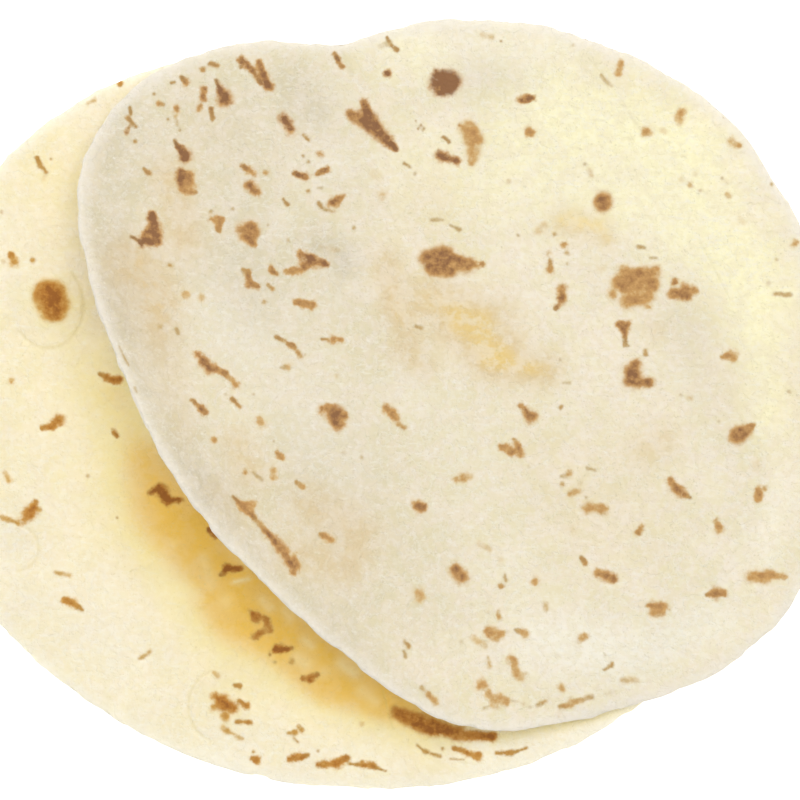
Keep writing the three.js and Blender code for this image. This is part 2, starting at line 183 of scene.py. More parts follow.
upperTortilla = {
    "node": "upper_tortilla",
    "piece": "upper_tortilla_dough",
    "slot": "upper_dough",
    "seed": 23,
    # the dough's golden tone, and at the right edge a painted warm glow of light shining through the
    # dough
    "goldAndPaintedGlow": [
        (565, 219, 600, 226, 16, .75), (608, 240, 7, .5), (432, 298, 482, 320, 26, .62),
        (455, 330, 500, 350, 22, .5), (487, 362, 546, 370, 20, .6), (531, 368, 9, .3),
        (720, 300, 750, 400, 36, .12), (657, 441, 26, .2), (775, 300, 790, 400, 40, .08),
        (400, 353, 426, 368, 14, .4), (400, 318, 410, 338, 16, .4), (138, 262, 162, 300, 26, .45),
        (386, 262, 394, 304, 17, .5), (310, 505, 360, 535, 26, .42), (440, 210, 50, .1),
        (296, 554, 347, 568, 22, .4), (170, 178, 184, 238, 22, .45), (238, 440, 254, 474, 18, .4),
        (120, 260, 160, 330, 30, .22), (160, 330, 185, 430, 18, .2), (215, 490, 250, 520, 14, .2),
        (610, 520, 60, .1), (560, 470, 60, .1), (200, 130, 40, .1), (435, 190, 25, .2),
        (655, 330, 14, .25), (640, 455, 665, 440, 16, .2), (345, 520, 10, .3), (130, 400, 12, .15),
        (600, 110, 640, 150, 26, .1), (380, 110, 16, .1), (500, 300, 520, 330, 20, .15),
    ],
    # painted light: the top right and right of the upper tortilla lit more brightly, and light shining
    # through it
    "bright": [
        (560, 110, 680, 150, 50, 1), (690, 200, 760, 300, 44, .9), (750, 260, 768, 420, 28, .75),
        (430, 170, 560, 160, 40, .4), (400, 50, 430, 60, 26, .5), (490, 200, 700, 190, 34, .4),
        (620, 210, 720, 250, 30, .4), (500, 120, 520, 150, 20, .4),
    ],
    "pale": [
        (540, 640, 600, 650, 34, .8), (640, 655, 720, 620, 28, .7), (400, 40, 560, 45, 26, .5),
        (300, 400, 330, 460, 40, .25), (200, 310, 250, 350, 30, .4), (420, 400, 500, 480, 40, .2),
        (760, 560, 780, 500, 24, .5), (560, 400, 30, .25), (510, 560, 30, .3), (700, 150, 14, .3),
        (240, 420, 20, .3), (330, 160, 20, .3), (280, 220, 14, .3),
    ],
    # painted shade: the left of the upper tortilla, turned away from the lamp, and the shade of the folds
    # at the top right
    "grey": [
        (105, 130, 90, 320, 60, .5), (100, 320, 190, 500, 50, .55), (190, 500, 320, 650, 46, .5),
        (320, 650, 420, 710, 30, .3), (230, 120, 240, 260, 80, .35), (240, 300, 320, 460, 70, .25),
        (320, 460, 420, 600, 60, .25), (318, 245, 345, 260, 20, .5), (400, 400, 440, 480, 70, .1),
        (450, 70, 540, 80, 30, .3), (320, 90, 360, 200, 40, .15), (120, 250, 170, 330, 26, .25),
        (585, 60, 640, 125, 14, .3), (640, 125, 720, 165, 12, .25), (300, 490, 360, 600, 30, .2),
        (345, 300, 380, 340, 36, .18), (240, 330, 26, .15),
        (290, 80, 310, 110, 26, .3), (690, 330, 740, 430, 34, .14), (600, 260, 690, 330, 30, .1),
    ],
    "folds": [
        (80, 258, 97, 256, 1.5, -.16), (100, 326, 122, 322, 1.5, -.18), (84, 225, 90, 226, 1.4, -.12),
        (113, 352, 118, 349, 1.4, -.12), (397, 558, 403, 535, 1.6, -.1), (340, 44, 352, 75, 6, -.12),
        (352, 75, 372, 140, 9, .1), (575, 45, 625, 110, 5, .12), (590, 60, 640, 128, 2.5, -.1),
        (640, 128, 720, 165, 4, .12), (560, 190, 640, 205, 5, .1), (500, 90, 560, 100, 6, .1),
        (680, 225, 745, 330, 6, .12), (700, 240, 730, 300, 2.5, -.1), (695, 130, 750, 190, 4, .1),
        (415, 300, 440, 330, 3, .12), (560, 320, 590, 420, 4, .08), (380, 600, 415, 640, 4, .1),
        (310, 590, 365, 650, 5, .1), (180, 420, 215, 480, 4, .1), (230, 520, 300, 600, 4, .1),
        (660, 640, 700, 655, 4, .1), (720, 590, 780, 560, 5, .1), (440, 600, 470, 660, 4, .1),
        (470, 610, 540, 600, 3, .08), (640, 180, 700, 178, 3, .08), (120, 170, 125, 330, 5, .1),
    ],
    "toast": [
        # the freckled top left
        (130, 107, 131, 114, 1.6, 1.6, .5), (128, 118, 136, 127, 2.4, 1.8, .6),
        (130, 126, 127, 132, 2, 2.8, .75), (135, 141, 2.3, .4), (154, 94, 1.8, .4),
        (158, 103, 164, 105, 3.2, 2.2, .45), (171, 83, 175, 82, 1.6, 1.6, .45),
        (181, 77, 187, 84, 1.8, 4, .6), (176, 108, 4.2, .6), (175, 116, 177, 124, 3, 2, .3),
        (168, 119, 1.8, .4), (180, 130, 1.8, .4), (203, 70, 2.8, .5),
        (210, 63, 218, 66, 2.3, 2.6, .55), (204, 89, 203, 98, 3.4, 4.2, .7), (200, 108, 3.6, .6),
        (211, 109, 213, 118, 2.6, 2.4, .6), (216, 81, 226, 100, 2, 7.5, .8),
        (221, 102, 231, 102, 3.5, 2.5, .75), (241, 60, 251, 69, 4, 3.5, .7),
        (251, 69, 261, 83, 3.5, 2.5, .65), (259, 62, 269, 87, 3.5, 5, .65),
        (267, 83, 270, 89, 4, 2.5, .8), (241, 58, 241, 67, 2.2, 2, .8),
        (334, 53, 342, 67, 2.6, 3.2, .65), (283, 117, 291, 131, 5, 5.6, .8),
        (303, 135, 309, 141, 2.2, 2, .55), (320, 154, 3.6, .6), (303, 156, 1.8, .4),
        (309, 162, 1.8, .35), (294, 172, 306, 177, 3, 4, .7), (318, 173, 327, 169, 3, 3.6, .65),
        (308, 191, 2.8, .4), (317, 188, 322, 188, 1.4, 1.4, .25), (333, 203, 343, 196, 5.2, 3.4, .62),
        (318, 203, 322, 208, 2.2, 2, .45), (324, 210, 335, 211, 1.5, 2.6, .4),
        (283, 199, 288, 205, 1.8, 2, .55), (241, 166, 254, 173, 2.6, 3.8, .65), (266, 173, 3, .45),
        (248, 184, 257, 193, 4.5, 4.6, .65), (144, 169, 149, 173, 2.2, 2.8, .55),
        (174, 140, 186, 157, 1.6, 6.2, .85), (180, 172, 182, 187, 4.5, 5.5, .7),
        (190, 175, 190, 184, 5, 6, .52), (182, 190, 196, 192, 3.4, 2.2, .65),
        (184, 172, 190, 190, 3, 5, .55),
        # the boot-shaped spot and those right of it
        (152, 214, 157, 240, 4.5, 6, .8), (131, 236, 142, 242, 1.8, 3.2, .9),
        (154, 224, 158, 236, 5, 5, .7), (146, 238, 152, 243, 4, 4.4, .85),
        (142, 242, 158, 242, 3.5, 4.2, .85), (150, 228, 145, 238, 4, 4, .7),
        (211, 219, 222, 219, 3.4, 3.4, .55), (217, 221, 219, 231, 4.8, 2.6, .55),
        (211, 211, 1.8, .3), (233, 208, 1.8, .4), (240, 229, 253, 226, 5.5, 6, .65),
        (246, 234, 254, 245, 8, 3.6, .6), (248, 230, 254, 234, 8, 7, .58), (288, 240, 2, .35),
        (268, 225, 1.6, .25),
        (328, 412, 337, 423, 5.5, 6.5, .6), (621, 325, 627, 332, 4.2, 3.6, .6),
        (629, 370, 634, 377, 6.5, 6, .6), (354, 228, 2.2, .35),
        (299, 253, 325, 264, 3.8, 4, .75), (303, 266, 316, 262, 5, 5, .66),
        (286, 271, 301, 271, 3.4, 4.4, .55), (320, 246, 338, 250, 2, 2, .15),
        (270, 268, 277, 274, 3.5, 2.8, .55), (242, 269, 249, 272, 2, 2.6, .5),
        (249, 272, 249, 284, 2.8, 3.4, .65), (249, 284, 257, 286, 3.4, 3.2, .65),
        (268, 285, 272, 290, 2.2, 2.8, .45), (264, 302, 2.6, .4), (295, 302, 313, 305, 3.2, 4.6, .55),
        (186, 294, 4.2, .35), (202, 296, 4, .3), (170, 265, 2.6, .35), (333, 249, 339, 251, 3, 1.6, .25),
        # top middle
        (387, 37, 389, 41, 1.4, 1.4, .6), (391, 45, 398, 50, 2, 2.4, .55),
        (380, 46, 391, 43, 2.2, 2.4, .15), (388, 73, 4, .75), (437, 74, 452, 80, 5.5, 8.5, 1),
        (434, 85, 455, 83, 6, 7.5, 1), (439, 91, 450, 87, 5.5, 6, 1), (520, 101, 534, 98, 4.4, 3, .65),
        (530, 132, 5, .5), (481, 35, 493, 37, 3, 3, .22), (501, 41, 1.6, .35),
        (364, 104, 371, 119, 4.6, 6, .75), (351, 113, 371, 126, 5.6, 7.5, .75),
        (371, 124, 393, 146, 8, 4.6, .75), (388, 141, 396, 149, 4.6, 2.8, .8),
        (468, 127, 474, 140, 9, 10, .42), (474, 150, 471, 163, 8, 4.5, .4), (460, 126, 2, .6),
        (440, 156, 457, 161, 5.5, 4.2, .78), (443, 137, 449, 142, 1.8, 1.8, .6), (461, 126, 1.6, .8),
        (404, 163, 410, 167, 1.5, 1.7, .4), (415, 174, 2, .3), (383, 195, 5, .3), (376, 174, 6, .12),
        (509, 181, 2.8, .3), (431, 220, 443, 220, 2, 2, .3), (450, 225, 460, 230, 1.5, 2, .35),
        (518, 235, 2, .4), (590, 170, 591, 175, 3, 3, .25), (585, 164, 1.6, .25), (603, 202, 9.5, .62),
        (416, 121, 1, .8), (421, 125, 1, .8), (418, 129, 1, .8), (424, 128, 1, .8), (423, 131, 1, .6),
        (538, 231, 545, 225, 4.5, 4, .25), (555, 234, 2.6, .4), (564, 245, 3.6, .5),
        (567, 252, 2.6, .35), (548, 252, 3.2, .35), (567, 264, 2, .3), (550, 261, 550, 272, 2.4, 3.6, .5),
        # the fish-shaped spot
        (425, 258, 446, 256, 7.5, 10, .68), (430, 268, 450, 268, 8, 9.5, .62),
        (448, 262, 468, 265, 11, 7.5, .6), (466, 265, 483, 264, 7, 3, .55),
        (443, 258, 441, 266, 2.5, 2, .75),
        # top right
        (601, 75, 611, 86, 1.6, 2.4, .25), (621, 63, 618, 74, 3.6, 4.2, .5),
        (562, 288, 562, 301, 4.6, 4.6, .6), (562, 301, 555, 309, 4.2, 2, .65),
        (573, 45, 2.2, .25), (684, 110, 678, 120, 4.5, 4.5, .38), (647, 131, 5.5, .42),
        (664, 130, 3.6, .2), (730, 141, 739, 146, 4.5, 4, .4), (724, 117, 1.3, .4),
        (690, 185, 3.2, .35), (700, 191, 2.2, .3), (681, 179, 3, .15), (695, 174, 2.5, .15),
        (728, 181, 3.5, .15), (728, 196, 3.2, .3), (722, 178, 1.4, .3), (742, 220, 4, .22),
        (772, 184, 1.8, .3), (795, 244, 4, .35), (777, 259, 2, .25), (774, 294, 791, 295, 2.6, 2.2, .3),
        (769, 283, 2.5, .15), (601, 269, 5, .15), (638, 247, 645, 248, 2, 1.8, .35),
        (650, 258, 657, 258, 1.6, 1.4, .3),
        # the big pale tan spot and the one beside it
        (634, 276, 657, 271, 8, 6, .55), (624, 288, 653, 284, 8, 9, .52),
        (626, 301, 649, 297, 8, 7, .48), (613, 294, 6, .45), (647, 307, 3.5, .4),
        (630, 282, 644, 294, 13, 11, .46), (618, 284, 626, 270, 8, 6, .44),
        (675, 282, 3.5, .65), (673, 294, 694, 291, 6, 4.5, .6), (684, 288, 686, 296, 6, 6, .62),
        (504, 300, 4, .12),
        # lower left
        (161, 327, 2.6, .3), (177, 328, 179, 334, 1.8, 2, .35), (120, 346, 129, 365, 1.2, 1.4, .3),
        (135, 387, 137, 392, 1.3, 1.3, .25), (198, 354, 211, 369, 3.8, 5.5, .65),
        (211, 367, 226, 374, 4.6, 3, .6), (226, 374, 237, 385, 3, 3.4, .55),
        (193, 400, 200, 407, 2.5, 3.6, .65), (200, 407, 206, 413, 3.6, 3, .65),
        (232, 398, 240, 407, 2.2, 3, .55), (254, 394, 1.6, .3), (226, 394, 1.6, .2),
        (276, 337, 293, 346, 2, 3, .55), (293, 346, 301, 356, 3, 2.6, .5), (305, 354, 1.3, .3),
        (322, 339, 342, 340, 2, 3.4, .55), (333, 340, 4.4, .55), (281, 367, 289, 367, 1.6, 3.4, .35),
        (337, 376, 2.8, .2), (322, 410, 335, 407, 4.5, 4.5, .65), (335, 413, 340, 426, 9, 5.5, .68),
        (345, 415, 4.5, .6), (258, 418, 263, 425, 3.6, 4.2, .4), (214, 440, 3.4, .4),
        (274, 441, 1.6, .3), (277, 452, 282, 457, 3, 3.6, .5), (246, 472, 3, .5),
        (253, 472, 263, 480, 1.4, 1.8, .3), (274, 470, 274, 478, 3.6, 3.4, .45),
        (296, 482, 303, 487, 2.2, 3, .45),
        # the long streak
        (233, 496, 246, 508, 1.6, 5, .6), (244, 506, 255, 503, 5, 3.5, .45),
        (246, 508, 255, 518, 4.5, 2.6, .6), (255, 516, 265, 530, 2.4, 3, .45),
        (265, 530, 284, 551, 3.4, 5.4, .6), (284, 551, 294, 568, 5.4, 5, .65),
        (294, 555, 297, 567, 4, 4, .45), (294, 572, 4, .6), (320, 534, 328, 537, 2.5, 4.5, .55),
        (332, 539, 4, .55), (386, 408, 397, 418, 4.8, 4.8, .55), (398, 425, 404, 428, 2.8, 3, .45),
        (362, 457, 2, .25), (344, 453, 2.2, .2), (405, 459, 1.5, .2), (404, 641, 409, 646, 2, 2.6, .4),
        (404, 651, 406, 657, 1.6, 2, .35), (421, 687, 428, 694, 2.2, 3, .35),
        (428, 694, 437, 704, 3, 3.4, .4),
        # middle
        (415, 326, 422, 328, 1.8, 2.3, .35), (522, 406, 532, 418, 3.6, 6.2, .62),
        (500, 446, 512, 452, 3.4, 5, .55), (512, 452, 519, 452, 5, 5, .55),
        (514, 439, 520, 452, 2.8, 4.2, .6), (561, 407, 2.4, .45), (563, 383, 570, 383, 1.8, 2, .25),
        (560, 360, 1.8, .3), (456, 479, 468, 477, 4.2, 5, .38), (417, 503, 422, 508, 5, 5.5, .62),
        (529, 467, 1.8, .2), (561, 476, 570, 474, 2, 3.6, .42), (562, 485, 2.6, .4),
        (569, 494, 580, 492, 3.4, 3.8, .35), (586, 497, 1.8, .35), (587, 468, 595, 470, 1.8, 1.8, .3),
        (580, 483, 2.5, .12), (587, 508, 603, 509, 5.6, 5.6, .45), (582, 507, 609, 508, 2.6, 2.2, .4),
        (572, 529, 6, .12), (479, 544, 490, 550, 3.4, 3, .2), (500, 560, 4, .15),
        (455, 568, 463, 578, 6.6, 6.8, .58), (505, 574, 506, 581, 2, 2, .35), (501, 586, 3, .45),
        (535, 582, 4.6, .42), (581, 558, 586, 563, 2.2, 3, .5), (598, 573, 606, 575, 5, 5.5, .55),
        (606, 577, 614, 578, 5.4, 4.6, .65),
        # right
        (619, 326, 630, 323, 3.5, 4, .6), (624, 327, 626, 341, 5.5, 1.6, .62),
        (624, 345, 629, 346, 2.2, 1.8, .45), (645, 350, 646, 355, 2.6, 2.4, .4),
        (635, 364, 633, 381, 5.8, 8.5, .65), (629, 381, 650, 383, 6, 5.4, .65),
        (722, 358, 733, 354, 3, 5, .55), (734, 359, 4, .35), (735, 437, 745, 432, 8.5, 7.5, .62),
        (748, 428, 753, 425, 5, 3, .5), (691, 398, 3.4, .3), (681, 395, 1.8, .2), (756, 465, 4.6, .2),
        (759, 489, 758, 500, 4, 4.4, .5), (764, 489, 3, .35), (716, 520, 720, 530, 3, 4.8, .45),
        (670, 481, 679, 492, 4.5, 5.5, .6), (679, 492, 690, 498, 5, 2, .6),
        (642, 526, 638, 533, 3.4, 3, .5), (751, 577, 768, 576, 6.3, 6, .52),
        (768, 576, 785, 577, 5.5, 3.5, .43), (706, 595, 716, 593, 2, 6, .58),
        (716, 593, 724, 593, 6, 4, .58), (789, 392, 2.2, .2), (647, 606, 665, 606, 2.6, 4.4, .5),
        (654, 609, 662, 610, 6.8, 6, .55), (669, 610, 2.5, .3),
        # bottom
        (419, 591, 419, 598, 6, 6, .35), (580, 639, 586, 635, 3.6, 3.6, .45),
        (545, 603, 547, 610, 3.2, 3, .25), (498, 611, 500, 618, 2.6, 3, .38), (489, 612, 2, .15),
        (486, 630, 494, 635, 4.2, 6, .5), (494, 636, 503, 634, 5.5, 4, .48), (507, 632, 2.5, .25),
        (515, 629, 526, 634, 1.6, 4.6, .42), (474, 638, 486, 645, 4, 3, .25), (461, 642, 2, .15),
        (488, 657, 490, 667, 2.6, 3, .35), (512, 659, 514, 668, 4.8, 4.2, .42),
        (514, 670, 521, 677, 4.5, 4.5, .35), (521, 677, 526, 673, 4, 2.5, .28), (482, 685, 6, .5),
        (488, 692, 496, 703, 4, 6, .42), (497, 698, 507, 702, 6, 4, .42),
        (484, 708, 492, 705, 2, 2, .25), (512, 700, 524, 704, 2, 2.6, .22), (530, 707, 2, .22),
        (537, 705, 546, 702, 2.2, 3, .38), (562, 688, 4.6, .38), (560, 707, 572, 703, 2.4, 3.6, .38),
        (572, 703, 592, 697, 3.4, 2.4, .36), (559, 716, 2.5, .15), (598, 687, 2.5, .12),
        (606, 695, 615, 691, 2.2, 2.2, .12), (605, 670, 613, 664, 2.2, 2.4, .42),
        (622, 680, 638, 680, 3.2, 3.4, .25), (624, 680, 1.6, .35), (557, 655, 2.5, .1),
        (605, 654, 1.6, .2), (630, 447, 1.4, .2), (719, 421, 1.6, .2),
        # right of the picture
        (814, 268, 823, 275, 4, 6, .55), (836, 318, 3, .4), (812, 345, 819, 341, 3, 4.5, .5),
        (842, 372, 848, 386, 7, 5, .6), (818, 412, 2.5, .35), (833, 440, 841, 436, 3, 4, .45),
        (812, 478, 817, 490, 5, 4, .55), (838, 505, 3, .35), (808, 540, 815, 548, 2.6, 3.4, .5),
    ],
}


# How far points lie from a straight stroke, and how far along it, from 0 to 1.
def fromStroke(points, x0, y0, x1, y1):
    awayX = points[:, 0] - x0
    awayY = points[:, 1] - y0
    wideX, wideY = x1 - x0, y1 - y0
    squared = max(wideX ** 2 + wideY ** 2, 1e-9)  # never nought, also for a round spot
    share = np.clip((awayX * wideX + awayY * wideY) / squared, 0, 1)
    return np.hypot(awayX - share * wideX, awayY - share * wideY), share


# How far points lie from the nearest toasted spot, how brown it is there, and how wide.
def nearestToast(points, toast):
    blending = 1.2  # spots this close together flow into each other
    tuckedIn = 0.2  # how far a stroke's ends draw in, as a share of its radius
    tuckedMost = 0.3  # and at most, as a share of its length
    spread = 1.13  # how much wider the toast is than its stroke
    farthest = 36  # points further than this from a spot aren't told from each other
    weight = np.full(len(points), np.exp(-farthest / blending))
    pulls = np.full(len(points), 1e-30)  # never nought, so that it can divide
    browning = np.zeros(len(points))
    width = np.zeros(len(points))
    for spot in toast:
        if len(spot) == 4:
            x, y, radius, brown = spot
            spot = (x, y, x, y, radius, radius, brown)
        x0, y0, x1, y1, r0, r1, brown = spot
        length = np.hypot(x1 - x0, y1 - y0)
        reach = farthest + length / 2 + max(r0, r1)
        beside = np.abs(points[:, 0] - (x0 + x1) / 2) < reach
        near = np.flatnonzero(beside & (np.abs(points[:, 1] - (y0 + y1) / 2) < reach))
        if length > 0:
            first = min(tuckedIn * r0 / length, tuckedMost)
            last = 1 - min(tuckedIn * r1 / length, tuckedMost)
            wideX, wideY = x1 - x0, y1 - y0
            x1, y1 = x0 + last * wideX, y0 + last * wideY
            x0, y0 = x0 + first * wideX, y0 + first * wideY
        gone, share = fromStroke(points[near], x0, y0, x1, y1)
        radius = (r0 + (r1 - r0) * share) * spread
        distance = gone - radius
        weight[near] += np.exp(-np.clip(distance, -20, 60) / blending)
        pull = brown * np.exp(-np.clip(distance, -2, 60) / blending)
        pulls[near] += pull
        browning[near] += pull * brown
        width[near] += pull * radius
    return -blending * np.log(weight), browning / pulls, width / pulls


# How high folds stand at points, in mm: a rounded ridge, or a groove where it is negative.
def foldHeight(points, folds):
    height = np.zeros(len(points))
    for *ends, width, rise in folds:
        share = fromStroke(points, *ends)[0] / width
        fold = rise * np.exp(-share ** 2)
        height = np.where(np.abs(fold) > np.abs(height), fold, height)
    return height


# How strongly soft patches colour points: 1 in the middle of a full one, 0 well away from it.
def patchStrength(points, patches):
    strength = np.zeros(len(points))
    for patch in patches:
        *ends, reach, amount = patch
        gone = fromStroke(points, *(ends * 2)[:4])[0] / reach
        strength = 1 - (1 - strength) * (1 - amount * np.exp(-gone ** 2))
    return strength


class Wire:  # an output of a node, with sums on values
    def __init__(self, nodes, socket):
        self.nodes = nodes
        self.socket = socket

    def sum(self, operation, first, second):
        return self.nodes.add("ShaderNodeMath", {"operation": operation}, {0: first, 1: second})

    def __add__(self, other):
        return self.sum("ADD", self, other)

    def __sub__(self, other):
        return self.sum("SUBTRACT", self, other)

    def __rsub__(self, other):
        return self.sum("SUBTRACT", other, self)

    def __mul__(self, other):
        return self.sum("MULTIPLY", self, other)

    def __truediv__(self, other):
        return self.sum("DIVIDE", self, other)

    def __rtruediv__(self, other):
        return self.sum("DIVIDE", other, self)

    def lesser(self, other):
        return self.sum("MINIMUM", self, other)

    __radd__ = __add__
    __rmul__ = __mul__


class Nodes:  # a node tree, and the one way in which nodes are added to it
    def __init__(self, tree):
        self.tree = tree

    def add(self, kind, settings=None, sockets=None, output=0):
        node = self.tree.nodes.new(kind)
        for name, value in (settings or {}).items():
            if name == "stops":
                self.setStops(node.color_ramp, value)
            else:
                setattr(node, name, value)
        for name, value in (sockets or {}).items():
            if isinstance(value, Wire):
                self.tree.links.new(value.socket, node.inputs[name])
            else:
                node.inputs[name].default_value = value
        return Wire(self, node.outputs[output])

    def setStops(self, ramp, stops):
        for number, (place, colour) in enumerate(stops):
            if number > 1:
                ramp.elements.new(place)
            ramp.elements[number].position = place
            ramp.elements[number].color = colour

    # another output of the node that a wire comes from
    def other(self, wire, name):
        return Wire(self, wire.socket.node.outputs[name])

    # noise from 0 to 1 with lumps of about this size, in metres
    def noise(self, where, size, detail=2.0, roughness=0.5):
        sockets = {"Vector": where, "Scale": 1 / size, "Detail": detail, "Roughness": roughness}
        return self.add("ShaderNodeTexNoise", {}, sockets)

    # 0 below the first value, 1 above the second, and smooth between them
    def rise(self, value, low, high, start=0.0, end=1.0):
        sockets = {"Value": value, "From Min": low, "From Max": high, "To Min": start, "To Max": end}
        return self.add("ShaderNodeMapRange", {"interpolation_type": "SMOOTHSTEP"}, sockets)

    def mix(self, share, first, second):
        return self.add("ShaderNodeMix", {"data_type": "RGBA"}, {0: share, 6: first, 7: second}, 2)

    def attribute(self, name):
        return self.add("ShaderNodeAttribute", {"attribute_name": name}, {}, 2)


# A colour as it looks on a screen, from 0 to 255, as the light values that Blender counts with.
def linear(red, green, blue):
    values = np.array((red, green, blue)) / 255
    curve = np.where(values > 0.04045, ((values + 0.055) / 1.055) ** 2.4, values / 12.92)
    return (*curve.tolist(), 1.0)


relief = {
    "Lump size": 9 * mm,
    "Lump depth": 0.30 * mm,
    "Ripple size": 3.2 * mm,
    "Ripple depth": 0.10 * mm,
    "Pimple spacing": 7 * mm,
    "Pimple density": 40000.0,  # at most, for each square metre
    "Pimple radius": 1.9 * mm,
    "Pimple height": 0.22 * mm,
    "Toast rise": 0.08 * mm,
    "Rim wave size": 8 * mm,
    "Rim wave depth": 0.7 * mm,
    "Rim wave reach": 2.5 * mm,  # from the rim inward
    "Highest": 0.10 * mm,  # above the dough's own surface, so that the two rounds stay apart
}


# Gives the dough its uneven surface: broad lumps, small ripples, pimples, folds, a wavy rim, and
# toasted spots that stand a little proud, because they touched the griddle.
def makeReliefTree():
    tree = bpy.data.node_groups.new("dough relief", "GeometryNodeTree")
    face = tree.interface
    face.new_socket("Geometry", in_out="INPUT", socket_type="NodeSocketGeometry")
    for name in relief:
        face.new_socket(name, in_out="INPUT", socket_type="NodeSocketFloat")
    face.new_socket("Seed", in_out="INPUT", socket_type="NodeSocketInt")
    face.new_socket("Dough", in_out="INPUT", socket_type="NodeSocketMaterial")
    face.new_socket("Geometry", in_out="OUTPUT", socket_type="NodeSocketGeometry")
    nodes = Nodes(tree)
    given = tree.nodes.new("NodeGroupInput")

    def wanted(name):
        return Wire(nodes, given.outputs[name])

    def marked(name):
        return nodes.add("GeometryNodeInputNamedAttribute", {"data_type": "FLOAT"}, {"Name": name})

    def bumps(size):
        return nodes.noise(seeded, wanted(size))

    place = nodes.add("GeometryNodeInputPosition")
    shift = nodes.add("ShaderNodeCombineXYZ", {}, {"X": wanted("Seed")})
    seeded = nodes.add("ShaderNodeVectorMath", {"operation": "ADD"}, {0: place, 1: shift})
    lumps = nodes.rise(bumps("Lump size"), 0.25, 0.75)
    ripples = nodes.rise(bumps("Ripple size"), 0.25, 0.75)
    scatter = {
        "Mesh": wanted("Geometry"),
        "Distance Min": wanted("Pimple spacing"),
        "Density Max": wanted("Pimple density"),
        "Seed": wanted("Seed"),
    }
    points = nodes.add("GeometryNodeDistributePointsOnFaces", {"distribute_method": "POISSON"}, scatter)
    closest = nodes.add("GeometryNodeProximity", {"target_element": "POINTS"}, {0: points})
    random = nodes.add("ShaderNodeTexWhiteNoise", {}, {"Vector": closest})
    radius = wanted("Pimple radius") * (random * 0.7 + 0.4)
    pimples = nodes.rise(nodes.other(closest, "Distance") / radius, 0.0, 1.0, 1.0, 0.0) * random
    proud = nodes.rise(marked("toast"), -0.6, 0.6, 1.0, 0.0)
    nearRim = nodes.rise(marked("toRim") * mm / wanted("Rim wave reach"), 0.0, 1.0, 1.0, 0.0)
    waves = nodes.rise(bumps("Rim wave size"), 0.35, 0.65) * nearRim
    height = (lumps - 1) * wanted("Lump depth") + (ripples - 1) * wanted("Ripple depth")
    height = height + pimples * wanted("Pimple height") + proud * wanted("Toast rise")
    height = height + marked("fold") * mm - waves * wanted("Rim wave depth")
    height = height.lesser(wanted("Highest"))
    normal = nodes.add("GeometryNodeInputNormal")
    offset = nodes.add("ShaderNodeVectorMath", {"operation": "SCALE"}, {0: normal, 3: height})
    movable = {"Geometry": wanted("Geometry"), "Offset": offset}
    moved = nodes.add("GeometryNodeSetPosition", {}, movable)
    smooth = nodes.add("GeometryNodeSetShadeSmooth", {}, {"Geometry": moved})
    real = nodes.add("GeometryNodeRealizeInstances", {}, {"Geometry": smooth})
    dressed = {"Geometry": real, "Material": wanted("Dough")}
    finished = nodes.add("GeometryNodeSetMaterial", {}, dressed)
    result = tree.nodes.new("NodeGroupOutput")
    tree.links.new(finished.socket, result.inputs["Geometry"])
    return tree


# Turns what the object's modifiers give into its own plain mesh.
def bake(piece):
    evaluated = piece.evaluated_get(bpy.context.evaluated_depsgraph_get())
    mesh = bpy.data.meshes.new_from_object(evaluated)
    piece.modifiers.clear()
    piece.data = mesh


meshing = {
    "joined": 0.01,  # points of the solid this close, in mm, are one
    "rounding": 1,  # subdivisions of the solid's faces
    "passes": 3,  # how often long edges are split
    "open": 1.9,  # longest edge on open dough, in mm
    "fine": 0.5,  # longest edge at the border of a toasted spot or on a fold, in mm
    "border": 0.35,  # half the width of that border, in mm
    "growth": 0.9,  # how fast edges may grow away from it
    "fold": 0.04,  # height in mm from which a fold needs fine edges
}


# The CAD dough with its loose triangles joined, rounded by one subdivision.
def copyDough(tortilla):
    edit = bmesh.new()
    edit.from_mesh(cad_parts[tortilla["node"]].data)
    bmesh.ops.remove_doubles(edit, verts=edit.verts, dist=meshing["joined"] * mm)
    edit.verts.ensure_lookup_table()
    places = [vertex.co.copy() for vertex in edit.verts]
    faces = [[vertex.index for vertex in face.verts] for face in edit.faces]
    edit.free()
    mesh = bpy.data.meshes.new(tortilla["piece"])
    mesh.from_pydata(places, [], faces)
    piece = bpy.data.objects.new(tortilla["piece"], mesh)
    scene.collection.objects.link(piece)
    rounding = piece.modifiers.new("rounding", "SUBSURF")
    rounding.levels = meshing["rounding"]
    rounding.render_levels = meshing["rounding"]
    bake(piece)
    return piece


# Cuts triangles in two, three or four, where their first, their first two or all their sides are
# cut. A row gives a triangle's corners and then its sides' new points.
def cutTriangles(rows, cuts):
    a, b, c, ab, bc, ca = rows.T
    pieces = {
        0: [(a, b, c)],
        1: [(a, ab, c), (ab, b, c)],
        2: [(a, ab, bc), (ab, b, bc), (a, bc, c)],
        3: [(a, ab, ca), (ab, b, bc), (ca, bc, c), (ab, bc, ca)],
    }
    return np.vstack([np.column_stack(piece) for piece in pieces[cuts]])


